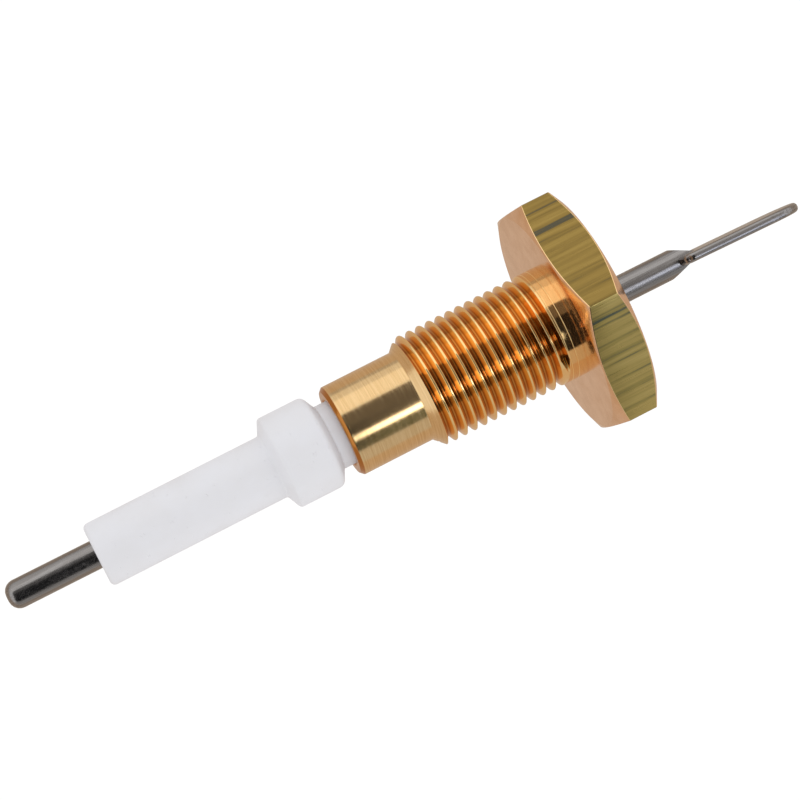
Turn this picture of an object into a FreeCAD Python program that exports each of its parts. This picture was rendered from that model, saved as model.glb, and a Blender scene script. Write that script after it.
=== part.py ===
import FreeCAD, Part
import math
import os

# Ignition electrode with a screwed gland, in millimetres.
# The common axis is X: the spark tip points to -X and the terminal tab to +X.
# x = 0 is the gland's seat face, the face of the hexagon that meets the burner wall.
# A corner of the hexagon points to +Z.

# Gland screw: G 1/8 parallel pipe thread, 28 threads to the inch, 55 degree form
THREAD_DIA = 9.728
THREAD_PITCH = 25.4 / 28
THREAD_HALF_ANGLE = 27.5
THREAD_LENGTH = 13.4      # from the nose to the seat face, with the plain shank
PLAIN_SHANK = 1.35        # unthreaded stretch beside the seat face
THREAD_END_TURN = 56.6    # where the last groove stops, in degrees from +Z towards -Y
CREST_LAND = 0.04         # flat left on top of the rounded crest
NOSE_DIA = 7.9
NOSE_LENGTH = 6.55
NOSE_CHAMFER = 0.3
HEX_FLATS = 19.3
HEX_THICKNESS = 4.1
HEX_FACE_DIA = 19.2       # flat disc left by the chamfer on each face
SEAT_CHAMFER_ANGLE = 22.0 # from the face, on the seat side
BACK_CHAMFER_ANGLE = 30.0 # from the face, on the terminal side
BORE_CHAMFER = 0.15

# Ceramic insulator
SHANK_DIA = 5.6           # rear stem that runs through the gland
TUBE_DIA = 5.45           # front tube
TUBE_LENGTH = 15.75
TUBE_EDGE_RADIUS = 0.45
COLLAR_DIA = 8.0
COLLAR_LENGTH = 5.1
COLLAR_CONE_DEPTH = 0.6   # axial depth of the coned face on each side
COLLAR_FRONT_EDGE = 0.15
COLLAR_REAR_EDGE = 0.6
COLLAR_GAP = 1.0          # from the collar back to the loose gland's nose
STEM_STANDOUT = 1.3       # stem that shows behind the hexagon
STEM_EDGE_RADIUS = 0.3
SLEEVE_CLEARANCE = 0.1    # radial, stem in the gland's bore

# Electrode rod
ROD_DIA = 2.4
ROD_CLEARANCE = 0.2       # radial, rod in the insulator's bore
ROD_LEAN = 0.24           # degrees, the tip set towards +Y within that clearance
ROD_LEAN_X = -4.0         # where the leaning rod crosses the axis
TIP_STANDOUT = 7.8        # bare rod in front of the tube
TIP_RADIUS = 0.95
TIP_FLAT_SAG = 0.05       # the dome's slight crown
TAB_START = 11.15         # where the round rod begins to flatten on the +Y side
TAB_BEVEL = 1.72          # length of that bevel
UNDER_START = 10.5        # where it begins to flatten on the -Y side
UNDER_BEVEL = 1.8
TAB_THICKNESS = 0.8
TAB_WIDTH = 6.3
TAB_END = 22.75
TAB_OFFSET = 0.15         # the tab lies off the rod's axis, towards -Y
TAB_SET = 0.18            # further sideways set at the tab's end
TAB_TIP_BEVEL = 0.22
TAB_TURN = 1.8            # degrees, tab plane from the XZ plane about +X
SHOULDER_START = 0.15     # behind TAB_START
SHOULDER_LENGTH = 0.3
SHOULDER_RADIUS = 0.5
LUG_THICKNESS = 0.6
LUG_LENGTH = 0.9
LUG_SPAN = 3.5
LUG_GAP = 0.03            # from the lugs to the floor of their pocket

# Refractory cement
REAR_POCKET_DIA = 4.2
REAR_POCKET_DEPTH = 3.0
FRONT_POCKET_DIA = 3.5
FRONT_POCKET_DEPTH = 1.2
CEMENT_RECESS = 0.08      # cement stands this far inside the insulator's end faces

# Seal ring, in a groove inside the gland's bore
RING_CORD = 0.7
RING_X = -9.4
RING_INNER_CLEARANCE = 0.03
RING_GROOVE_CLEARANCE = 0.05

# Places that follow from the sizes
NOSE_BACK = -THREAD_LENGTH
NOSE_FRONT = NOSE_BACK - NOSE_LENGTH
COLLAR_BACK = NOSE_FRONT - COLLAR_GAP
COLLAR_FRONT = COLLAR_BACK - COLLAR_LENGTH
TUBE_FRONT = COLLAR_FRONT - TUBE_LENGTH
TIP_END = TUBE_FRONT - TIP_STANDOUT
STEM_END = HEX_THICKNESS + STEM_STANDOUT
SLEEVE_RADIUS = SHANK_DIA / 2 + SLEEVE_CLEARANCE
ROD_BORE_RADIUS = ROD_DIA / 2 + ROD_CLEARANCE

X_AXIS = FreeCAD.Vector(1, 0, 0)
ORIGIN = FreeCAD.Vector(0, 0, 0)


def turned(path):
    """Solid of revolution about X. A pair is a corner (x, radius), a triple is a
    corner rounded with that radius."""
    corners = [FreeCAD.Vector(p[0], p[1], 0) for p in path]
    count = len(path)
    ends = []
    for i, p in enumerate(path):
        here = corners[i]
        if len(p) < 3:
            ends.append((here, None, here))
            continue
        back = (corners[i - 1] - here).normalize()
        ahead = (corners[(i + 1) % count] - here).normalize()
        half = back.getAngle(ahead) / 2
        centre_way = (back + ahead).normalize()
        reach = p[2] / math.tan(half)
        centre = here + centre_way * (p[2] / math.sin(half))
        middle = centre - centre_way * p[2]
        ends.append((here + back * reach, middle, here + ahead * reach))
    edges = []
    for i, (start, middle, end) in enumerate(ends):
        if middle is not None:
            edges.append(Part.Arc(start, middle, end).toShape())
        following = ends[(i + 1) % count][0]
        if (following - end).Length > 1e-6:
            edges.append(Part.LineSegment(end, following).toShape())
    face = Part.Face(Part.Wire(edges))
    return face.revolve(ORIGIN, X_AXIS, 360)


def drilled(x_start, x_end, radius):
    return Part.makeCylinder(radius, x_end - x_start, FreeCAD.Vector(x_start, 0, 0), X_AXIS)


def thread_groove():
    """The space between two turns of a 55 degree thread with rounded crest and root,
    swept along the helix from in front of the nose to the plain shank."""
    pitch = THREAD_PITCH
    major = THREAD_DIA / 2
    round_r = 0.137329 * pitch
    minor = major - 0.640327 * pitch
    outside = major + 0.35
    sine = math.sin(math.radians(THREAD_HALF_ANGLE))
    cosine = math.cos(math.radians(THREAD_HALF_ANGLE))

    crest_centre = pitch / 2
    land_edge = crest_centre - CREST_LAND / 2
    land_r = major - round_r + math.sqrt(round_r ** 2 - (CREST_LAND / 2) ** 2)
    flank_top = (major - round_r * (1 - sine), crest_centre - round_r * cosine)
    flank_foot = (minor + round_r * (1 - sine), round_r * cosine)
    mid_turn = math.radians((90 - THREAD_HALF_ANGLE) / 2)
    crest_mid = (major - round_r * (1 - math.cos(mid_turn)),
                 crest_centre - round_r * math.sin(mid_turn))

    def at(radius, z):
        return FreeCAD.Vector(radius, 0, z)

    edges = [
        Part.LineSegment(at(outside, land_edge), at(land_r, land_edge)).toShape(),
        Part.Arc(at(land_r, land_edge), at(*crest_mid), at(*flank_top)).toShape(),
        Part.LineSegment(at(*flank_top), at(*flank_foot)).toShape(),
        Part.Arc(at(*flank_foot), at(minor, 0), at(flank_foot[0], -flank_foot[1])).toShape(),
        Part.LineSegment(at(flank_foot[0], -flank_foot[1]), at(flank_top[0], -flank_top[1])).toShape(),
        Part.Arc(at(flank_top[0], -flank_top[1]), at(crest_mid[0], -crest_mid[1]),
                 at(land_r, -land_edge)).toShape(),
        Part.LineSegment(at(land_r, -land_edge), at(outside, -land_edge)).toShape(),
        Part.LineSegment(at(outside, -land_edge), at(outside, land_edge)).toShape(),
    ]
    profile = Part.Wire(edges)

    groove_end = -PLAIN_SHANK
    turns = (THREAD_LENGTH - PLAIN_SHANK) / pitch + 1.3
    helix = Part.makeHelix(pitch, turns * pitch, major)
    pipe = Part.BRepOffsetAPI.MakePipeShell(helix)
    pipe.setFrenetMode(True)
    pipe.add(profile, False, False)
    pipe.build()
    pipe.makeSolid()
    groove = pipe.shape()
    start_turn = 180 + THREAD_END_TURN - 360 * turns
    groove.rotate(ORIGIN, FreeCAD.Vector(0, 0, 1), start_turn)
    groove.rotate(ORIGIN, FreeCAD.Vector(0, 1, 0), 90)
    groove.translate(FreeCAD.Vector(groove_end - turns * pitch, 0, 0))
    return groove


def hexagon():
    """Hexagon with both faces turned to a chamfer, a corner towards +Z."""
    corner_r = HEX_FLATS / math.sqrt(3)
    corners = []
    for i in range(7):
        turn = math.radians(60 * i)
        corners.append(FreeCAD.Vector(0, corner_r * math.sin(turn), corner_r * math.cos(turn)))
    prism = Part.Face(Part.makePolygon(corners)).extrude(FreeCAD.Vector(HEX_THICKNESS, 0, 0))
    face_r = HEX_FACE_DIA / 2
    rim_r = corner_r + 1
    seat_depth = (rim_r - face_r) * math.tan(math.radians(SEAT_CHAMFER_ANGLE))
    back_depth = (rim_r - face_r) * math.tan(math.radians(BACK_CHAMFER_ANGLE))
    envelope = turned([(0, 0), (0, face_r), (seat_depth, rim_r),
                       (HEX_THICKNESS - back_depth, rim_r), (HEX_THICKNESS, face_r),
                       (HEX_THICKNESS, 0)])
    return prism.common(envelope)


def threaded_bar():
    """Threaded stretch and plain shank, up to the middle of the hexagon, with a lead-in
    cone from the nose to the crests."""
    nose_r = NOSE_DIA / 2
    rim_r = THREAD_DIA
    plain = drilled(NOSE_BACK, HEX_THICKNESS / 2, THREAD_DIA / 2)
    bar = plain.cut(thread_groove())
    if bar.Volume > 0.95 * plain.Volume:
        raise ValueError("the thread was not cut")
    lead_in = turned([(NOSE_BACK, 0), (NOSE_BACK, nose_r), (NOSE_BACK + rim_r - nose_r, rim_r),
                      (HEX_THICKNESS, rim_r), (HEX_THICKNESS, 0)])
    return bar.common(lead_in)


def gland_screw():
    """Brass gland: smooth nose, thread and hexagon in one piece, bored through for the
    insulator's stem, with a groove for the seal ring inside the bore."""
    nose_r = NOSE_DIA / 2
    nose = turned([(NOSE_FRONT, 0), (NOSE_FRONT, nose_r - NOSE_CHAMFER),
                   (NOSE_FRONT + NOSE_CHAMFER, nose_r), (NOSE_BACK, nose_r), (NOSE_BACK, 0)])
    body = threaded_bar().fuse(nose).fuse(hexagon())

    flare_r = SLEEVE_RADIUS + BORE_CHAMFER
    bore = turned([(NOSE_FRONT - 1, 0), (NOSE_FRONT - 1, flare_r), (NOSE_FRONT, flare_r),
                   (NOSE_FRONT + BORE_CHAMFER, SLEEVE_RADIUS),
                   (HEX_THICKNESS - BORE_CHAMFER, SLEEVE_RADIUS), (HEX_THICKNESS, flare_r),
                   (HEX_THICKNESS + 1, flare_r), (HEX_THICKNESS + 1, 0)])
    body = body.cut(bore)

    ring_outer = SHANK_DIA / 2 + RING_INNER_CLEARANCE + RING_CORD
    half_groove = RING_CORD / 2 + RING_GROOVE_CLEARANCE
    ring_groove = drilled(RING_X - half_groove, RING_X + half_groove,
                          ring_outer + RING_GROOVE_CLEARANCE)
    return body.cut(ring_groove).removeSplitter()


def seal_ring():
    """Round-section ring that seals the stem in the gland's bore."""
    mean_r = SHANK_DIA / 2 + RING_INNER_CLEARANCE + RING_CORD / 2
    return Part.makeTorus(mean_r, RING_CORD / 2, FreeCAD.Vector(RING_X, 0, 0), X_AXIS)


def insulator():
    """Ceramic: front tube, coned collar and rear stem, bored for the rod, with a cement
    pocket at each end."""
    tube_r = TUBE_DIA / 2
    stem_r = SHANK_DIA / 2
    collar_r = COLLAR_DIA / 2
    body = turned([(TUBE_FRONT, 0), (TUBE_FRONT, tube_r, TUBE_EDGE_RADIUS),
                   (COLLAR_FRONT, tube_r),
                   (COLLAR_FRONT + COLLAR_CONE_DEPTH, collar_r, COLLAR_FRONT_EDGE),
                   (COLLAR_BACK - COLLAR_CONE_DEPTH, collar_r, COLLAR_REAR_EDGE),
                   (COLLAR_BACK, stem_r), (STEM_END, stem_r, STEM_EDGE_RADIUS),
                   (STEM_END, 0)])
    body = body.cut(drilled(TUBE_FRONT - 1, STEM_END + 1, ROD_BORE_RADIUS))
    body = body.cut(drilled(TUBE_FRONT - 1, TUBE_FRONT + FRONT_POCKET_DEPTH, FRONT_POCKET_DIA / 2))
    return body.cut(drilled(STEM_END - REAR_POCKET_DEPTH, STEM_END + 1, REAR_POCKET_DIA / 2))


def side_solid(corners):
    """A side view in the XY plane, extruded across the tab's width."""
    width = TAB_WIDTH + 2
    loop = [FreeCAD.Vector(x, y, -width / 2) for x, y in corners]
    loop.append(loop[0])
    return Part.Face(Part.makePolygon(loop)).extrude(FreeCAD.Vector(0, 0, width))


def core_side_view():
    """The round rod's end, bevelled down to the tab's thickness from both sides."""
    rod_r = ROD_DIA / 2
    half = TAB_THICKNESS / 2
    return side_solid([
        (UNDER_START - 1, rod_r), (TAB_START, rod_r), (TAB_START + TAB_BEVEL, half - TAB_OFFSET),
        (TAB_START + TAB_BEVEL, -half - TAB_OFFSET),
        (UNDER_START + UNDER_BEVEL, -half - TAB_OFFSET), (UNDER_START, -rod_r),
        (UNDER_START - 1, -rod_r),
    ])


def tab_side_view():
    """The thin tab, straight at first and then set sideways, with both end edges bevelled."""
    half = TAB_THICKNESS / 2
    bevel_end = TAB_START + TAB_BEVEL
    y_start = -TAB_OFFSET
    y_end = -TAB_OFFSET - TAB_SET
    return side_solid([
        (TAB_START, y_start + half), (bevel_end, y_start + half),
        (TAB_END - TAB_TIP_BEVEL, y_end + half), (TAB_END, y_end + half - TAB_TIP_BEVEL),
        (TAB_END, y_end - half + TAB_TIP_BEVEL), (TAB_END - TAB_TIP_BEVEL, y_end - half),
        (bevel_end, y_start - half), (TAB_START, y_start - half),
    ])


def tab_plan():
    """Plan of the swaged end: two shoulders and a round end, extruded through its thickness."""
    half = TAB_WIDTH / 2
    neck = ROD_DIA / 2 * 0.7
    start = TAB_START + SHOULDER_START
    shoulder = start + SHOULDER_LENGTH
    depth = ROD_DIA + 1

    def at(x, z):
        return FreeCAD.Vector(x, -depth / 2, z)

    edges = [
        Part.LineSegment(at(start, -neck), at(start, neck)).toShape(),
        Part.LineSegment(at(start, neck), at(shoulder, half)).toShape(),
        Part.LineSegment(at(shoulder, half), at(TAB_END - half, half)).toShape(),
        Part.Arc(at(TAB_END - half, half), at(TAB_END, 0), at(TAB_END - half, -half)).toShape(),
        Part.LineSegment(at(TAB_END - half, -half), at(shoulder, -half)).toShape(),
        Part.LineSegment(at(shoulder, -half), at(start, -neck)).toShape(),
    ]
    plan = Part.Face(Part.Wire(edges)).extrude(FreeCAD.Vector(0, depth, 0))
    sharp = [e for e in plan.Edges
             if abs(e.CenterOfMass.x - shoulder) < 1e-3 and abs(abs(e.CenterOfMass.z) - half) < 1e-3]
    return plan.makeFillet(SHOULDER_RADIUS, sharp)


def set_in_place(shape):
    """Turn the rod's tab a little about the axis and lean the rod within its bore."""
    shape.rotate(ORIGIN, X_AXIS, TAB_TURN)
    shape.rotate(FreeCAD.Vector(ROD_LEAN_X, 0, 0), FreeCAD.Vector(0, 0, 1), -ROD_LEAN)
    return shape


def rod_lugs():
    """Two thin lugs squeezed out of the rod's sides, which stop it in the rear pocket."""
    lug_x = STEM_END - REAR_POCKET_DEPTH + LUG_GAP
    blade = Part.makeBox(LUG_LENGTH, LUG_THICKNESS, LUG_SPAN,
                         FreeCAD.Vector(lug_x, -LUG_THICKNESS / 2, -LUG_SPAN / 2))
    return blade.common(drilled(lug_x, lug_x + LUG_LENGTH, LUG_SPAN / 2))


def electrode_rod():
    """Steel rod: domed spark tip, two swaged lugs that stop it in the insulator, and the
    rear end flattened into a push-on tab."""
    rod_r = ROD_DIA / 2
    bevel_end = TAB_START + TAB_BEVEL
    bar = turned([(TIP_END, 0), (TIP_END + TIP_FLAT_SAG, rod_r, TIP_RADIUS), (bevel_end, rod_r),
                  (bevel_end, 0)])
    round_part = drilled(TIP_END - 1, UNDER_START, rod_r + 1).fuse(core_side_view())
    bar = bar.common(round_part)
    tab = tab_plan().common(tab_side_view())
    return set_in_place(bar.fuse(tab).fuse(rod_lugs()).removeSplitter())


def front_cement():
    """Cement ring that seals the rod in the tube's end."""
    plug = drilled(TUBE_FRONT + CEMENT_RECESS, TUBE_FRONT + FRONT_POCKET_DEPTH, FRONT_POCKET_DIA / 2)
    return plug.cut(set_in_place(drilled(TUBE_FRONT - 1, COLLAR_FRONT, ROD_DIA / 2)))


def rear_cement():
    """Cement plug round the rod and its lugs in the stem's end."""
    pocket_floor = STEM_END - REAR_POCKET_DEPTH
    plug = drilled(pocket_floor, STEM_END - CEMENT_RECESS, REAR_POCKET_DIA / 2)
    plug = plug.cut(set_in_place(drilled(pocket_floor - 1, STEM_END + 1, ROD_DIA / 2)))
    return plug.cut(set_in_place(rod_lugs()))


os.makedirs("parts", exist_ok=True)
NODES = {
    "gland_screw": gland_screw(),
    "seal_ring": seal_ring(),
    "insulator": insulator(),
    "electrode_rod": electrode_rod(),
    "front_cement": front_cement(),
    "rear_cement": rear_cement(),
}
for name, shape in NODES.items():
    shape.exportStep("parts/" + name + ".step")
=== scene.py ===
import math

import bmesh
import bpy
from mathutils import Matrix, Vector


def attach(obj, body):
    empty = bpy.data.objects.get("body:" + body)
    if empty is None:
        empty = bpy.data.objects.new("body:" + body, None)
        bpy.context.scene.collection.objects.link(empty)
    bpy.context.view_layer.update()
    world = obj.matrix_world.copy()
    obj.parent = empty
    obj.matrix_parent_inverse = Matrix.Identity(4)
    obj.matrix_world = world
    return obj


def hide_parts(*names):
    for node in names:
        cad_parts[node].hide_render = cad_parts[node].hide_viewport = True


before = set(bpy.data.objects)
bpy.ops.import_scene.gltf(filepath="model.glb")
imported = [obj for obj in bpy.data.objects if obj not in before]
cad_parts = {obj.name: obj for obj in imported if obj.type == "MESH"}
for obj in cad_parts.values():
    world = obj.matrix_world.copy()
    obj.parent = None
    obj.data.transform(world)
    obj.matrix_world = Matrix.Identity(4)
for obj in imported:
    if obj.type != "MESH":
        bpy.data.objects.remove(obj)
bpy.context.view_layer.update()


# Camera. It looks down on the part from about 200 mm, a little from the spark tip's side,
# and is rolled so that the part's axis rises to the right.
MM = 0.001
CAMERA_DISTANCE = 197.2 * MM
CAMERA_LENS = 109.1
CAMERA_TILT = math.radians(7.9)
CAMERA_SWING = math.radians(0.7)
CAMERA_ROLL = math.radians(27)
AIM = Vector((-14.34 * MM, 0.13 * MM, 0))

swing = Matrix.Rotation(-CAMERA_SWING, 3, 'X')
along = swing @ Vector((math.cos(CAMERA_TILT), 0, math.sin(CAMERA_TILT)))
across = swing @ Vector((0, 1, 0))
toward = along.cross(across)
camera_right = along * math.cos(CAMERA_ROLL) - across * math.sin(CAMERA_ROLL)
camera_up = along * math.sin(CAMERA_ROLL) + across * math.cos(CAMERA_ROLL)

bpy.ops.object.camera_add()
camera = bpy.context.object
camera.data.lens = CAMERA_LENS
camera.data.clip_start = 5 * MM
stand = Matrix((camera_right, camera_up, toward)).transposed().to_4x4()
stand.translation = AIM + toward * CAMERA_DISTANCE
camera.matrix_world = stand
bpy.context.scene.camera = camera
bpy.context.scene.view_settings.view_transform = 'Standard'


# Studio. A pale floor well below the part, plain white surroundings, and tall reflectors
# that stand round the part's axis, which only the shiny metal sees.
FLOOR_DEPTH = 90 * MM
FLOOR_SIZE = 4.0
FLOOR_GLOW = 0.14
CARD_GAP = 2 * MM
REFLECTOR_DISTANCE = 320 * MM
WHOLE_LENGTH = (-450, 450)
BESIDE_TIP = (-450, -2)
BESIDE_THREAD = (-2, 59)
BESIDE_SHANK = (59, 76)
BESIDE_TAB = (76, 450)

world = bpy.data.worlds.new("white_surroundings")
world.use_nodes = True
world.node_tree.nodes["Background"].inputs["Color"].default_value = (1, 1, 1, 1)
world.node_tree.nodes["Background"].inputs["Strength"].default_value = 1.0
bpy.context.scene.world = world


def glowing(name, colour, strength):
    """A material that gives light and reflects none."""
    finish = bpy.data.materials.new(name)
    finish.use_nodes = True
    shader = finish.node_tree.nodes["Principled BSDF"]
    shader.inputs["Base Color"].default_value = (0, 0, 0, 1)
    shader.inputs["Specular IOR Level"].default_value = 0
    shader.inputs["Emission Color"].default_value = (*colour, 1)
    shader.inputs["Emission Strength"].default_value = strength
    return finish


def only_in_reflections(panel):
    """Stage a panel that is seen in the shiny metal and nowhere else."""
    panel.visible_camera = False
    panel.visible_diffuse = False
    panel.visible_shadow = False


def reflector(name, start, end, colour, strength, reach=WHOLE_LENGTH):
    """A panel that covers the angles from start to end, in degrees from overhead towards -Y,
    and reaches from one place to another along the axis, in millimetres."""
    middle = math.radians((start + end) / 2)
    half = math.radians((end - start) / 2)
    bpy.ops.mesh.primitive_plane_add(size=1)
    panel = bpy.context.object
    panel.name = name
    width = 2 * REFLECTOR_DISTANCE * math.tan(half)
    length = (reach[1] - reach[0]) * MM
    place = Matrix.Translation(((reach[0] + reach[1]) / 2 * MM, 0, REFLECTOR_DISTANCE))
    panel.matrix_world = (Matrix.Rotation(middle - CAMERA_SWING, 4, 'X') @ place
                          @ Matrix.Diagonal((length, width, 1, 1)))
    panel.data.materials.append(glowing(name + "_face", colour, strength))
    only_in_reflections(panel)


bpy.ops.mesh.primitive_plane_add(size=FLOOR_SIZE, location=(0, 0, -FLOOR_DEPTH))
floor = bpy.context.object
floor.name = "pale_floor"
floor_finish = bpy.data.materials.new("pale_paper")
floor_finish.use_nodes = True
floor_shader = floor_finish.node_tree.nodes["Principled BSDF"]
floor_shader.inputs["Base Color"].default_value = (0.9, 0.9, 0.9, 1)
floor_shader.inputs["Roughness"].default_value = 0.9
floor_shader.inputs["Specular IOR Level"].default_value = 0.1
floor_shader.inputs["Emission Color"].default_value = (1, 1, 1, 1)
floor_shader.inputs["Emission Strength"].default_value = FLOOR_GLOW
floor.data.materials.append(floor_finish)

bpy.ops.mesh.primitive_plane_add(size=FLOOR_SIZE, location=(0, 0, CARD_GAP - FLOOR_DEPTH))
warm_card = bpy.context.object
warm_card.name = "warm_card"
warm_card.data.materials.append(glowing("warm_card_face", (1.0, 0.82, 0.66), 0.6))
only_in_reflections(warm_card)

reflector("window", -75, -34, (1.0, 0.99, 0.97), 1.15)
reflector("window_edge", -95, -75, (1.0, 0.99, 0.97), 0.85)
reflector("room_behind_window", -105, -95, (1.0, 0.97, 0.94), 0.5)
reflector("ceiling_edge", -34, -8, (1.0, 0.97, 0.95), 0.16, BESIDE_TIP)
reflector("dark_ceiling", -8, 64, (0.9, 0.9, 1.0), 0.02, BESIDE_TIP)
reflector("dim_ceiling", -34, 23, (1.0, 0.95, 0.9), 0.13, BESIDE_THREAD)
reflector("strip_light", 23, 35, (1.0, 1.0, 0.98), 4.6, BESIDE_THREAD)
reflector("dim_wall", 35, 63, (0.9, 1.0, 0.75), 0.17, BESIDE_THREAD)
reflector("dark_beam", -34, 62, (1.0, 0.9, 0.8), 0.03, BESIDE_SHANK)
reflector("grey_ceiling", -34, 16, (1.0, 0.95, 0.9), 0.62, BESIDE_TAB)
reflector("pale_strip", 16, 44, (0.86, 0.93, 1.1), 1.8, BESIDE_TAB)
reflector("grey_wall", 44, 63, (0.95, 0.97, 1.0), 0.35, BESIDE_TAB)
reflector("table_side", 63, 97, (1.0, 0.98, 0.95), 0.6)


# Gland screw. One piece of brass bar: a smooth turned nose, a rounded pipe thread, a
# plain shank and a thin hexagon, bored through for the ceramic, with a groove for the
# seal ring inside the bore.
THREAD_DIA = 9.728
THREAD_PITCH = 25.4 / 28
THREAD_LENGTH = 13.4
PLAIN_SHANK = 1.35
THREAD_DEPTH = 0.640327 * THREAD_PITCH
THREAD_ROUND = 0.137329 * THREAD_PITCH
THREAD_HALF_ANGLE = math.radians(27.5)
THREAD_END_TURN = math.radians(56.6)
THREAD_LEAD_TURNS = 1.3
CREST_LAND = 0.04
CUTTER_STANDOUT = 0.4
STEPS_PER_TURN = 96
RUN_OUT_DEPTH = 0.62
RUN_OUT_STEPS = 5
SCORE_LINES = (-0.98, -0.42)
SCORE_HALF_WIDTH = 0.04
SCORE_DEPTH = 0.03
NOSE_DIA = 7.9
NOSE_LENGTH = 6.55
NOSE_CHAMFER = 0.3
NOSE_FRONT_ROUND = 0.05
NOSE_SIDE_ROUND = 0.12
HEX_FLATS = 19.3
HEX_THICKNESS = 4.1
HEX_FACE_DIA = 19.04
HEX_FACE_ROUND = 0.2
HEX_EDGE_ROUND = 0.06
SEAT_CHAMFER = math.radians(22)
BACK_CHAMFER = math.radians(30)
BORE_DIA = 5.8
BORE_FLARE = 0.15
RING_X = -9.4
RING_GROOVE_DIA = 7.16
RING_GROOVE_WIDTH = 0.8
RING_GROOVE_ROUND = 0.1
NOSE_BACK = -THREAD_LENGTH
NOSE_FRONT = NOSE_BACK - NOSE_LENGTH
SAME_POINT = 0.0005 * MM
SLIVER = 0.02 * MM
major_r = THREAD_DIA / 2
nose_r = NOSE_DIA / 2


def rounded(corners, pieces=5):
    """The points of a closed outline. A corner (x, r, radius) becomes an arc."""
    points = []
    for i, corner in enumerate(corners):
        here = Vector(corner[:2])
        if len(corner) == 2:
            points.append(here)
            continue
        back = (Vector(corners[i - 1][:2]) - here).normalized()
        ahead = (Vector(corners[(i + 1) % len(corners)][:2]) - here).normalized()
        half = back.angle(ahead) / 2
        centre = here + (back + ahead).normalized() * (corner[2] / math.sin(half))
        start = here + back * (corner[2] / math.tan(half)) - centre
        end = here + ahead * (corner[2] / math.tan(half)) - centre
        turn = start.angle_signed(end)
        for k in range(pieces + 1):
            points.append(centre + Matrix.Rotation(-turn * k / pieces, 2) @ start)
    return points


def draw(name, points):
    """A wire drawn point by point in the XZ plane, left in edit mode."""
    bpy.ops.object.select_all(action='DESELECT')
    here = Vector(points[0])
    bpy.ops.mesh.primitive_plane_add(size=MM, location=(here.x * MM, 0, here.y * MM))
    piece = bpy.context.object
    piece.name = name
    bpy.ops.object.mode_set(mode='EDIT')
    bpy.ops.mesh.select_mode(type='VERT')
    bpy.ops.mesh.select_all(action='SELECT')
    bpy.ops.mesh.merge(type='CENTER')
    for point in points[1:]:
        step = (Vector(point) - here) * MM
        bpy.ops.mesh.extrude_vertices_move(TRANSFORM_OT_translate={"value": (step.x, 0, step.y)})
        here = Vector(point)
    return piece


def settle(piece):
    """Put the piece's place into its mesh."""
    bpy.ops.object.select_all(action='DESELECT')
    piece.select_set(True)
    bpy.context.view_layer.objects.active = piece
    bpy.ops.object.transform_apply(location=True, rotation=True, scale=True)


def tidy_faces():
    """Join doubled points and turn all faces outwards, in edit mode, and leave it."""
    bpy.ops.mesh.select_all(action='SELECT')
    bpy.ops.mesh.remove_doubles(threshold=SAME_POINT)
    bpy.ops.mesh.normals_make_consistent(inside=False)
    if bmesh.from_edit_mesh(bpy.context.object.data).calc_volume(signed=True) < 0:
        bpy.ops.mesh.flip_normals()
    bpy.ops.object.mode_set(mode='OBJECT')


def turn(name, corners, facets=144):
    """Spin an outline of (x, radius) corners about the X axis. It is closed, unless it
    starts and ends on the axis."""
    points = rounded(corners)
    hollow = corners[0][1] > 0
    piece = draw(name, points + points[:1] if hollow else points)
    bpy.ops.mesh.select_all(action='SELECT')
    bpy.ops.mesh.spin(steps=facets, angle=2 * math.pi, center=(0, 0, 0), axis=(1, 0, 0))
    tidy_faces()
    settle(piece)
    return piece


def combine(piece, other, operation):
    """Union, difference or intersection with another closed piece, which is used up."""
    modifier = piece.modifiers.new(operation.lower(), 'BOOLEAN')
    modifier.operation = operation
    modifier.solver = 'MANIFOLD'
    modifier.object = other
    bpy.ops.object.select_all(action='DESELECT')
    bpy.context.view_layer.objects.active = piece
    bpy.ops.object.modifier_apply(modifier=modifier.name)
    piece.data.materials.clear()
    bpy.data.objects.remove(other)


def pick_edges(piece, test):
    """In edit mode, select the edges that pass a test."""
    bpy.ops.mesh.select_mode(type='EDGE')
    bpy.ops.mesh.select_all(action='DESELECT')
    mesh = bmesh.from_edit_mesh(piece.data)
    for edge in mesh.edges:
        if test(edge):
            edge.select_set(True)
    mesh.select_flush(True)
    bmesh.update_edit_mesh(piece.data)


def cylinder(name, x, length, diameter, sides):
    """A bar along the X axis that starts at x."""
    bpy.ops.object.select_all(action='DESELECT')
    bpy.ops.mesh.primitive_cylinder_add(vertices=sides, radius=diameter / 2 * MM, depth=length * MM,
                                        location=((x + length / 2) * MM, 0, 0),
                                        rotation=(0, math.pi / 2, 0))
    piece = bpy.context.object
    piece.name = name
    settle(piece)
    return piece


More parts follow.
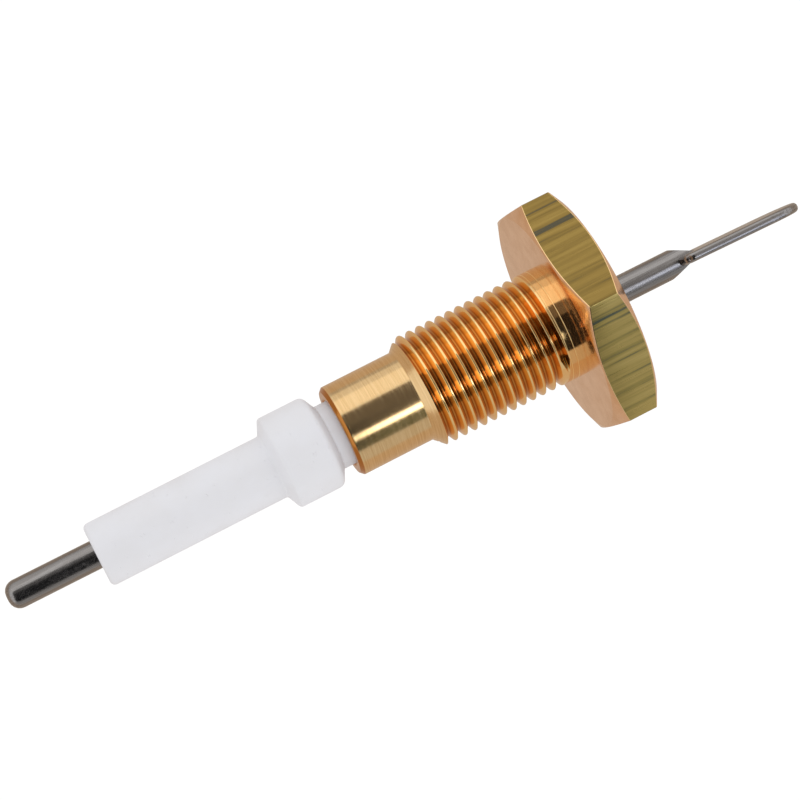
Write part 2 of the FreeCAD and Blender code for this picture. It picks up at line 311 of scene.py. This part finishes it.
def thread_groove():
    """The space between two turns of the 55 degree thread, screwed along the axis."""
    steps = 5

    def arc(centre_x, centre_r, first, last):
        return [(centre_x + THREAD_ROUND * math.cos(first + (last - first) * k / steps),
                 centre_r + THREAD_ROUND * math.sin(first + (last - first) * k / steps))
                for k in range(steps + 1)]

    half_pitch = THREAD_PITCH / 2
    flank = THREAD_HALF_ANGLE
    crest_start = math.acos(CREST_LAND / 2 / THREAD_ROUND)
    crest_r = major_r - THREAD_ROUND
    root_r = major_r - THREAD_DEPTH + THREAD_ROUND
    left = arc(-half_pitch, crest_r, crest_start, flank)
    root = arc(0, root_r, math.pi + flank, 2 * math.pi - flank)
    right = arc(half_pitch, crest_r, math.pi - flank, math.pi - crest_start)
    outside = major_r + CUTTER_STANDOUT
    profile = [(left[0][0], outside)] + left + root + right + [(right[-1][0], outside)]

    turns = (THREAD_LENGTH - PLAIN_SHANK) / THREAD_PITCH + THREAD_LEAD_TURNS
    start_x = -PLAIN_SHANK - turns * THREAD_PITCH
    points = [(start_x + x, r) for x, r in profile]
    groove = draw("thread_groove", points + points[:1])
    bpy.ops.mesh.select_all(action='SELECT')
    bpy.ops.mesh.remove_doubles(threshold=SAME_POINT)
    bpy.ops.object.mode_set(mode='OBJECT')
    settle(groove)
    screw = groove.modifiers.new("screw", 'SCREW')
    screw.axis = 'X'
    screw.angle = 2 * math.pi * turns
    screw.screw_offset = turns * THREAD_PITCH * MM
    screw.steps = screw.render_steps = round(STEPS_PER_TURN * turns)
    points_in_profile = len(groove.data.vertices)
    bpy.ops.object.modifier_apply(modifier="screw")
    last = len(groove.data.vertices) // points_in_profile - 1
    for vertex in groove.data.vertices:
        steps_left = last - vertex.index // points_in_profile
        lift = RUN_OUT_DEPTH * max(0, 1 - steps_left / RUN_OUT_STEPS)
        radius = math.hypot(vertex.co.y, vertex.co.z)
        vertex.co.y *= 1 + lift * MM / radius
        vertex.co.z *= 1 + lift * MM / radius
    groove.rotation_euler.x = THREAD_END_TURN - 2 * math.pi * turns
    settle(groove)
    bpy.ops.object.mode_set(mode='EDIT')
    bpy.ops.mesh.select_all(action='SELECT')
    bpy.ops.mesh.fill_holes(sides=0)
    tidy_faces()
    return groove


def hexagon():
    """A slice of hexagon bar, both faces turned to a chamfer and every edge broken."""
    corner_r = HEX_FLATS / math.sqrt(3)
    bar = cylinder("gland_screw", 0, HEX_THICKNESS, 2 * corner_r, 6)
    bar.rotation_euler.x = math.pi / 2
    settle(bar)
    rim_r = corner_r + 1
    face_r = HEX_FACE_DIA / 2
    seat_depth = (rim_r - face_r) * math.tan(SEAT_CHAMFER)
    back_depth = (rim_r - face_r) * math.tan(BACK_CHAMFER)
    turned = turn("turned_envelope", [
        (0, 0), (0, face_r, HEX_FACE_ROUND), (seat_depth, rim_r),
        (HEX_THICKNESS - back_depth, rim_r), (HEX_THICKNESS, face_r, HEX_FACE_ROUND),
        (HEX_THICKNESS, 0)], facets=180)
    combine(bar, turned, 'INTERSECT')
    bpy.ops.object.mode_set(mode='EDIT')
    bpy.ops.mesh.select_all(action='SELECT')
    bpy.ops.mesh.remove_doubles(threshold=SLIVER)
    pick_edges(bar, lambda edge: edge.calc_face_angle(0) > math.radians(45))
    bpy.ops.mesh.bevel(offset=HEX_EDGE_ROUND * MM, segments=3, affect='EDGES')
    tidy_faces()
    return bar


def score_line(x):
    """A fine line that the tool leaves round the shank."""
    return [(x - SCORE_HALF_WIDTH, major_r), (x, major_r - SCORE_DEPTH),
            (x + SCORE_HALF_WIDTH, major_r)]


gland = hexagon()
bar = turn("turned_bar", [
    (NOSE_FRONT, 0), (NOSE_FRONT, nose_r - NOSE_CHAMFER, NOSE_FRONT_ROUND),
    (NOSE_FRONT + NOSE_CHAMFER, nose_r, NOSE_SIDE_ROUND), (NOSE_BACK, nose_r),
    (NOSE_BACK + major_r - nose_r, major_r),
    *score_line(SCORE_LINES[0]), *score_line(SCORE_LINES[1]),
    (HEX_THICKNESS / 2, major_r), (HEX_THICKNESS / 2, 0)])
combine(bar, thread_groove(), 'DIFFERENCE')
combine(gland, bar, 'UNION')
bore_r = BORE_DIA / 2
groove_r = RING_GROOVE_DIA / 2
half_groove = RING_GROOVE_WIDTH / 2
flare_r = bore_r + BORE_FLARE
bore = turn("bore", [
    (NOSE_FRONT - 1, 0), (NOSE_FRONT - 1, flare_r), (NOSE_FRONT, flare_r),
    (NOSE_FRONT + BORE_FLARE, bore_r), (RING_X - half_groove, bore_r),
    (RING_X - half_groove, groove_r, RING_GROOVE_ROUND),
    (RING_X + half_groove, groove_r, RING_GROOVE_ROUND), (RING_X + half_groove, bore_r),
    (HEX_THICKNESS - BORE_FLARE, bore_r), (HEX_THICKNESS, flare_r),
    (HEX_THICKNESS + 1, flare_r), (HEX_THICKNESS + 1, 0)])
combine(gland, bore, 'DIFFERENCE')


def finish_material(name, colour, roughness, metallic=1.0):
    """A new node material: a metal, unless it is told otherwise."""
    finish = bpy.data.materials.new(name)
    finish.use_nodes = True
    nodes = finish.node_tree.nodes
    shader = nodes["Principled BSDF"]
    shader.inputs["Base Color"].default_value = (*colour, 1)
    shader.inputs["Roughness"].default_value = roughness
    shader.inputs["Metallic"].default_value = metallic
    return finish


def millimetres(finish, stretch):
    """Object coordinates in millimetres, multiplied by a stretch for each axis."""
    nodes, links = finish.node_tree.nodes, finish.node_tree.links
    place = nodes.new("ShaderNodeTexCoord")
    scale = nodes.new("ShaderNodeMapping")
    scale.inputs["Scale"].default_value = [s / MM for s in stretch]
    links.new(place.outputs["Object"], scale.inputs["Vector"])
    return scale.outputs["Vector"]


def distance(finish, directions):
    """The distance in millimetres along the directions that are 1: (0, 1, 1) gives it from
    the X axis, and (0, 1, 0) from the XZ plane."""
    nodes, links = finish.node_tree.nodes, finish.node_tree.links
    length = nodes.new("ShaderNodeVectorMath")
    length.operation = 'LENGTH'
    links.new(millimetres(finish, directions), length.inputs[0])
    return length.outputs["Value"]


def grain(finish, place, detail=3.0, roughness=0.6, scale=1.0):
    """Noise between 0 and 1 at a place."""
    nodes, links = finish.node_tree.nodes, finish.node_tree.links
    noise = nodes.new("ShaderNodeTexNoise")
    noise.inputs["Scale"].default_value = scale
    noise.inputs["Detail"].default_value = detail
    noise.inputs["Roughness"].default_value = roughness
    links.new(place, noise.inputs["Vector"])
    return noise.outputs["Fac"]


def spread(finish, value, low, high, to_low, to_high):
    """A value mapped from one range to another."""
    nodes, links = finish.node_tree.nodes, finish.node_tree.links
    mapping = nodes.new("ShaderNodeMapRange")
    mapping.inputs["From Min"].default_value = low
    mapping.inputs["From Max"].default_value = high
    mapping.inputs["To Min"].default_value = to_low
    mapping.inputs["To Max"].default_value = to_high
    links.new(value, mapping.inputs["Value"])
    return mapping.outputs["Result"]


def colours(finish, value, stops):
    """A colour ramp of (place, colour) stops along a value."""
    nodes, links = finish.node_tree.nodes, finish.node_tree.links
    ramp = nodes.new("ShaderNodeValToRGB")
    while len(ramp.color_ramp.elements) < len(stops):
        ramp.color_ramp.elements.new(0.5)
    for element, (place, colour) in zip(ramp.color_ramp.elements, stops):
        element.position = place
        element.color = (*colour, 1)
    links.new(value, ramp.inputs["Fac"])
    return ramp.outputs["Color"]


def relief(finish, height, depth):
    """Bump of a depth in millimetres from a height between 0 and 1."""
    nodes, links = finish.node_tree.nodes, finish.node_tree.links
    bump = nodes.new("ShaderNodeBump")
    bump.inputs["Strength"].default_value = 1.0
    bump.inputs["Distance"].default_value = depth * MM
    links.new(height, bump.inputs["Height"])
    links.new(bump.outputs["Normal"], nodes["Principled BSDF"].inputs["Normal"])


def feed(finish, value, socket):
    """Link a value to the shader of a finish."""
    finish.node_tree.links.new(value, finish.node_tree.nodes["Principled BSDF"].inputs[socket])


BRASS = (0.87, 0.42, 0.10)
ROOT_R = 4.28
CREST_R = 4.87
LINE_FADE = 0.1
LINE_DARKNESS = 0.17

turned_brass = finish_material("turned_brass", BRASS, 0.26)
rings = grain(turned_brass, millimetres(turned_brass, (9, 0.25, 0.25)), detail=4)
feed(turned_brass, spread(turned_brass, rings, 0.3, 0.7, 0.12, 0.22), "Roughness")
feed(turned_brass, colours(turned_brass, rings, [
    (0.35, (0.74, 0.49, 0.23)), (0.65, (0.84, 0.59, 0.31))]), "Base Color")
relief(turned_brass, rings, 0.0035)

polished_brass = finish_material("polished_brass", BRASS, 0.08)
tool_marks = grain(polished_brass, millimetres(polished_brass, (6, 0.5, 0.5)), detail=3)
# Painted shade: the polished brass is painted darker and redder towards the thread roots, where
# shade falls, and lighter towards the crests.
root_shade_depth = spread(polished_brass, distance(polished_brass, (0, 1, 1)), ROOT_R, CREST_R, 0, 1)
feed(polished_brass, spread(polished_brass, tool_marks, 0.3, 0.7, 0.07, 0.15), "Roughness")
feed(polished_brass, colours(polished_brass, root_shade_depth, [
    (0.0, (0.5, 0.2, 0.045)), (0.35, (0.86, 0.46, 0.14)), (0.8, (0.93, 0.58, 0.22)),
    (1.0, (0.95, 0.66, 0.31))]), "Base Color")
relief(polished_brass, tool_marks, 0.0015)

faced_brass = finish_material("faced_brass", (0.86, 0.55, 0.34), 0.14)
facing_rings = grain(faced_brass, distance(faced_brass, (0, 1, 1)), detail=4, scale=3.0)
stains = grain(faced_brass, millimetres(faced_brass, (0.6, 0.6, 0.6)), detail=4)
feed(faced_brass, colours(faced_brass, stains, [
    (0.35, (0.78, 0.48, 0.27)), (0.65, (0.88, 0.58, 0.37))]), "Base Color")
feed(faced_brass, spread(faced_brass, facing_rings, 0.3, 0.7, 0.08, 0.2), "Roughness")
relief(faced_brass, facing_rings, 0.0025)


def drawn_side(name, tones, line_from, line_to):
    """One side of the drawn bar, with its own tones from the dark streaks to the pale ones,
    and a dark die line between two distances from the XZ plane. The tones of each side are
    painted light and shade with a painted reflection tint: the same brass is painted darker
    and browner on one side of the hexagon and paler and greener on the other."""
    finish = finish_material(name, tones[-1], 0.34)
    nodes, links = finish.node_tree.nodes, finish.node_tree.links
    streaks = grain(finish, millimetres(finish, (0.05, 2.0, 2.0)), detail=6, roughness=0.62)
    fine_lines = grain(finish, millimetres(finish, (0.2, 16, 16)), detail=3)
    aside = distance(finish, (0, 1, 0))
    place = spread(finish, aside, line_from - LINE_FADE, line_to + LINE_FADE, 0, 1)
    line = colours(finish, place, [
        (0.0, (0, 0, 0)), (0.2, (1, 1, 1)), (0.8, (1, 1, 1)), (1.0, (0, 0, 0))])
    darker = nodes.new("ShaderNodeMath")
    darker.operation = 'MULTIPLY_ADD'
    darker.inputs[1].default_value = -LINE_DARKNESS
    links.new(line, darker.inputs[0])
    links.new(streaks, darker.inputs[2])
    stops = list(zip((0.3, 0.38, 0.5, 0.68), tones))
    feed(finish, colours(finish, darker.outputs["Value"], stops), "Base Color")
    feed(finish, spread(finish, fine_lines, 0.3, 0.7, 0.26, 0.42), "Roughness")
    relief(finish, fine_lines, 0.003)
    return finish


# Painted light and shade: the hexagon's flats towards +Y are painted darker and browner, and the
# flats towards -Y are painted paler and greener, a painted reflection tint.
painted_dark_side = drawn_side("drawn_brass_painted_dark_side", [
    (0.1, 0.09, 0.06), (0.22, 0.15, 0.045), (0.29, 0.195, 0.055), (0.37, 0.255, 0.075)], 6.9, 7.2)
painted_light_side = drawn_side("drawn_brass_painted_light_side", [
    (0.13, 0.15, 0.11), (0.42, 0.33, 0.11), (0.54, 0.41, 0.14), (0.64, 0.5, 0.19)], 0.9, 1.35)

finishes = [polished_brass, turned_brass, faced_brass, painted_dark_side, painted_light_side]
for finish in finishes:
    gland.data.materials.append(finish)
for face in gland.data.polygons:
    middle = face.center / MM
    radius = math.hypot(middle.y, middle.z)
    upright = abs(face.normal.x)
    on_nose = NOSE_FRONT + NOSE_CHAMFER < middle.x < NOSE_BACK and radius > nose_r - 0.2
    on_lead_in = middle.x > NOSE_BACK and abs(radius - nose_r - middle.x + NOSE_BACK) < 0.03
    if on_nose or on_lead_in:
        face.material_index = finishes.index(turned_brass)
    elif radius < major_r and middle.x < -0.02:
        face.material_index = finishes.index(polished_brass)
    elif upright > 0.5:
        face.material_index = finishes.index(faced_brass)
    elif radius > HEX_FLATS / 2 - 1 and upright < 0.05:
        # Painted light and shade: flats towards +Y take the darker painted side, and flats towards
        # -Y take the paler one.
        face.material_index = finishes.index(painted_dark_side if middle.y > 0 else painted_light_side)


def smooth(piece, degrees):
    """Shade smooth across every edge that turns less than this."""
    bpy.ops.object.select_all(action='DESELECT')
    piece.select_set(True)
    bpy.context.view_layer.objects.active = piece
    bpy.ops.object.shade_smooth_by_angle(angle=math.radians(degrees))


smooth(gland, 30)
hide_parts("gland_screw")
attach(gland, "gland")


# Seal ring. A round cord ring moulded in black heat-resistant rubber, in the groove inside
# the gland's bore, where it grips the ceramic stem.
rubber = finish_material("seal_rubber", (0.02, 0.02, 0.02), 0.55, metallic=0)
rubber_grain = grain(rubber, millimetres(rubber, (20, 20, 20)), detail=4)
feed(rubber, spread(rubber, rubber_grain, 0.3, 0.7, 0.45, 0.65), "Roughness")
relief(rubber, rubber_grain, 0.004)
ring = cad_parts["seal_ring"]
ring.data.materials.clear()
ring.data.materials.append(rubber)


# Insulator. Pressed and fired white ceramic, unglazed: a front tube with a rounded end, a
# collar with coned faces and a long stem through the gland, bored for the rod.
TUBE_DIA = 5.45
TUBE_LENGTH = 15.75
STEM_DIA = 5.6
COLLAR_DIA = 8.0
COLLAR_LENGTH = 5.1
COLLAR_CONE = 0.6
COLLAR_GAP = 1.0
STEM_STANDOUT = 1.3
POCKET_ROUND = 0.08
TUBE_END_ROUND = 0.45
NECK_ROUND = 0.25
COLLAR_FRONT_ROUND = 0.3
COLLAR_BACK_ROUND = 0.6
STEM_ROOT_ROUND = 0.15
STEM_END_ROUND = 0.3
ROD_BORE_DIA = 2.8
FRONT_POCKET_DIA = 3.5
FRONT_POCKET_DEPTH = 1.2
REAR_POCKET_DIA = 4.2
REAR_POCKET_DEPTH = 3.0
COLLAR_BACK = NOSE_FRONT - COLLAR_GAP
COLLAR_FRONT = COLLAR_BACK - COLLAR_LENGTH
TUBE_FRONT = COLLAR_FRONT - TUBE_LENGTH
STEM_END = HEX_THICKNESS + STEM_STANDOUT

insulator = turn("insulator", [
    (TUBE_FRONT, FRONT_POCKET_DIA / 2, POCKET_ROUND), (TUBE_FRONT, TUBE_DIA / 2, TUBE_END_ROUND),
    (COLLAR_FRONT, TUBE_DIA / 2, NECK_ROUND),
    (COLLAR_FRONT + COLLAR_CONE, COLLAR_DIA / 2, COLLAR_FRONT_ROUND),
    (COLLAR_BACK - COLLAR_CONE, COLLAR_DIA / 2, COLLAR_BACK_ROUND),
    (COLLAR_BACK, STEM_DIA / 2, STEM_ROOT_ROUND), (STEM_END, STEM_DIA / 2, STEM_END_ROUND),
    (STEM_END, REAR_POCKET_DIA / 2, POCKET_ROUND),
    (STEM_END - REAR_POCKET_DEPTH, REAR_POCKET_DIA / 2),
    (STEM_END - REAR_POCKET_DEPTH, ROD_BORE_DIA / 2),
    (TUBE_FRONT + FRONT_POCKET_DEPTH, ROD_BORE_DIA / 2),
    (TUBE_FRONT + FRONT_POCKET_DEPTH, FRONT_POCKET_DIA / 2)])

ceramic = finish_material("white_ceramic", (0.8, 0.8, 0.81), 0.5, metallic=0)
ceramic.node_tree.nodes["Principled BSDF"].inputs["Specular IOR Level"].default_value = 0.35
clouds = grain(ceramic, millimetres(ceramic, (0.35, 0.35, 0.35)), detail=2)
pits = grain(ceramic, millimetres(ceramic, (2.4, 2.4, 2.4)), detail=2)
pit_depth = spread(ceramic, pits, 0.27, 0.33, 0, 1)
feed(ceramic, colours(ceramic, clouds, [
    (0.3, (0.73, 0.725, 0.75)), (0.7, (0.75, 0.75, 0.785))]), "Base Color")
feed(ceramic, spread(ceramic, clouds, 0.3, 0.7, 0.45, 0.6), "Roughness")
relief(ceramic, pit_depth, 0.02)
insulator.data.materials.append(ceramic)
smooth(insulator, 40)
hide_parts("insulator")
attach(insulator, "electrode")


# Electrode rod. Drawn heat-resistant steel wire with a rounded spark tip. Its rear end is
# pressed flat into a push-on tab, and two lugs squeezed from its sides lie in the cement.
ROD_DIA = 2.4
TIP_STANDOUT = 7.8
TIP_RADIUS = 0.95
TIP_FLAT = 0.05
TAB_START = 11.15
TAB_BEVEL = 1.72
UNDER_START = 10.5
UNDER_BEVEL = 1.8
TAB_THICKNESS = 0.8
TAB_WIDTH = 6.3
TAB_END = 22.75
TAB_OFFSET = 0.15
TAB_SET = 0.18
TAB_ROOT_HALF = 0.84
TAB_TIP_FLAT = 0.02
TAB_EDGE_ROUND = 0.35
TAB_LAP = 0.15
SHOULDER_START = 0.15
SHOULDER_LENGTH = 0.3
SHOULDER_ROUND = 0.5
TAB_TURN = math.radians(1.8)
ROD_LEAN = math.radians(0.24)
ROD_LEAN_X = -4.0
LUG_THICKNESS = 0.6
LUG_LENGTH = 0.9
LUG_SPAN = 3.5
LUG_GAP = 0.03
TIP_END = TUBE_FRONT - TIP_STANDOUT
rod_r = ROD_DIA / 2
tab_half = TAB_THICKNESS / 2
bevel_end = TAB_START + TAB_BEVEL


def swing_about(piece, centre, angle, axis):
    """Turn a piece about a line through a centre, along an axis."""
    shift = Matrix.Translation(Vector(centre) * MM)
    piece.matrix_world = shift @ Matrix.Rotation(angle, 4, axis) @ shift.inverted()
    settle(piece)


def press_flat(piece, start, end):
    """Cut the piece along the sloping plane through two (x, y) points, and keep the inside."""
    slope = Vector((end[0] - start[0], end[1] - start[1], 0)).normalized()
    outward = Vector((-slope.y, slope.x, 0))
    if outward.y * start[1] < 0:
        outward.negate()
    bpy.ops.mesh.select_all(action='SELECT')
    bpy.ops.mesh.bisect(plane_co=(start[0] * MM, start[1] * MM, 0), plane_no=outward,
                        use_fill=True, clear_outer=True)


rod_end = bevel_end + TAB_LAP
rod = turn("electrode_rod", [(TIP_END, 0), (TIP_END + TIP_FLAT, rod_r, TIP_RADIUS),
                             (rod_end, rod_r), (rod_end, 0)], facets=96)
bpy.ops.object.mode_set(mode='EDIT')
press_flat(rod, (TAB_START, rod_r), (bevel_end, tab_half - TAB_OFFSET))
press_flat(rod, (UNDER_START, -rod_r), (UNDER_START + UNDER_BEVEL, -tab_half - TAB_OFFSET))
tidy_faces()

half_width = TAB_WIDTH / 2
shoulder = TAB_START + SHOULDER_START
shoulder_end = shoulder + SHOULDER_LENGTH
tip_round = half_width - TAB_TIP_FLAT
tab = draw("tab", rounded([
    (shoulder, -TAB_ROOT_HALF), (shoulder, TAB_ROOT_HALF),
    (shoulder_end, half_width, SHOULDER_ROUND), (TAB_END, half_width, tip_round),
    (TAB_END, -half_width, tip_round), (shoulder_end, -half_width, SHOULDER_ROUND)], pieces=14))
bpy.ops.mesh.select_all(action='SELECT')
bpy.ops.mesh.edge_face_add()
bpy.ops.mesh.extrude_region_move(TRANSFORM_OT_translate={"value": (0, TAB_THICKNESS * MM, 0)})
pick_edges(tab, lambda edge: edge.calc_face_angle(0) > math.radians(80)
           and abs(edge.verts[0].co.y - edge.verts[1].co.y) < 0.1 * MM)
bpy.ops.mesh.bevel(offset=TAB_EDGE_ROUND * MM, segments=7, affect='EDGES')
tidy_faces()
settle(tab)
tab.location.y = -(TAB_OFFSET + tab_half) * MM
settle(tab)
tab_slope = math.atan(TAB_SET / (TAB_END - bevel_end))
swing_about(tab, (bevel_end, -TAB_OFFSET, 0), -tab_slope, 'Z')

lug_x = STEM_END - REAR_POCKET_DEPTH + LUG_GAP
lugs = cylinder("lugs", lug_x, LUG_LENGTH, LUG_SPAN, 48)
bpy.ops.object.mode_set(mode='EDIT')
press_flat(lugs, (lug_x, LUG_THICKNESS / 2), (lug_x + 1, LUG_THICKNESS / 2))
press_flat(lugs, (lug_x, -LUG_THICKNESS / 2), (lug_x + 1, -LUG_THICKNESS / 2))
tidy_faces()
combine(rod, lugs, 'UNION')
combine(rod, tab, 'UNION')
swing_about(rod, (0, 0, 0), TAB_TURN, 'X')
swing_about(rod, (ROD_LEAN_X, 0, 0), -ROD_LEAN, 'Z')

steel = finish_material("drawn_steel", (0.36, 0.34, 0.33), 0.3)
die_lines = grain(steel, millimetres(steel, (0.2, 7, 7)), detail=4)
scale_spots = grain(steel, millimetres(steel, (2, 3, 3)), detail=4)
feed(steel, colours(steel, die_lines, [
    (0.3, (0.22, 0.205, 0.2)), (0.5, (0.29, 0.275, 0.27)), (0.7, (0.36, 0.35, 0.35))]), "Base Color")
feed(steel, spread(steel, scale_spots, 0.3, 0.7, 0.18, 0.32), "Roughness")
relief(steel, die_lines, 0.003)
rod.data.materials.append(steel)
smooth(rod, 32)
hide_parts("electrode_rod")
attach(rod, "electrode")


# Cement. Refractory cement cast round the rod in both ends of the insulator: off-white,
# gritty and a little recessed.
cement = finish_material("refractory_cement", (0.62, 0.59, 0.54), 0.85, metallic=0)
grit = grain(cement, millimetres(cement, (5, 5, 5)), detail=6, roughness=0.7)
feed(cement, colours(cement, grit, [
    (0.35, (0.5, 0.47, 0.42)), (0.65, (0.7, 0.67, 0.62))]), "Base Color")
feed(cement, spread(cement, grit, 0.3, 0.7, 0.75, 0.95), "Roughness")
relief(cement, grit, 0.06)
for name in ("front_cement", "rear_cement"):
    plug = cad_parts[name]
    plug.data.materials.clear()
    plug.data.materials.append(cement)
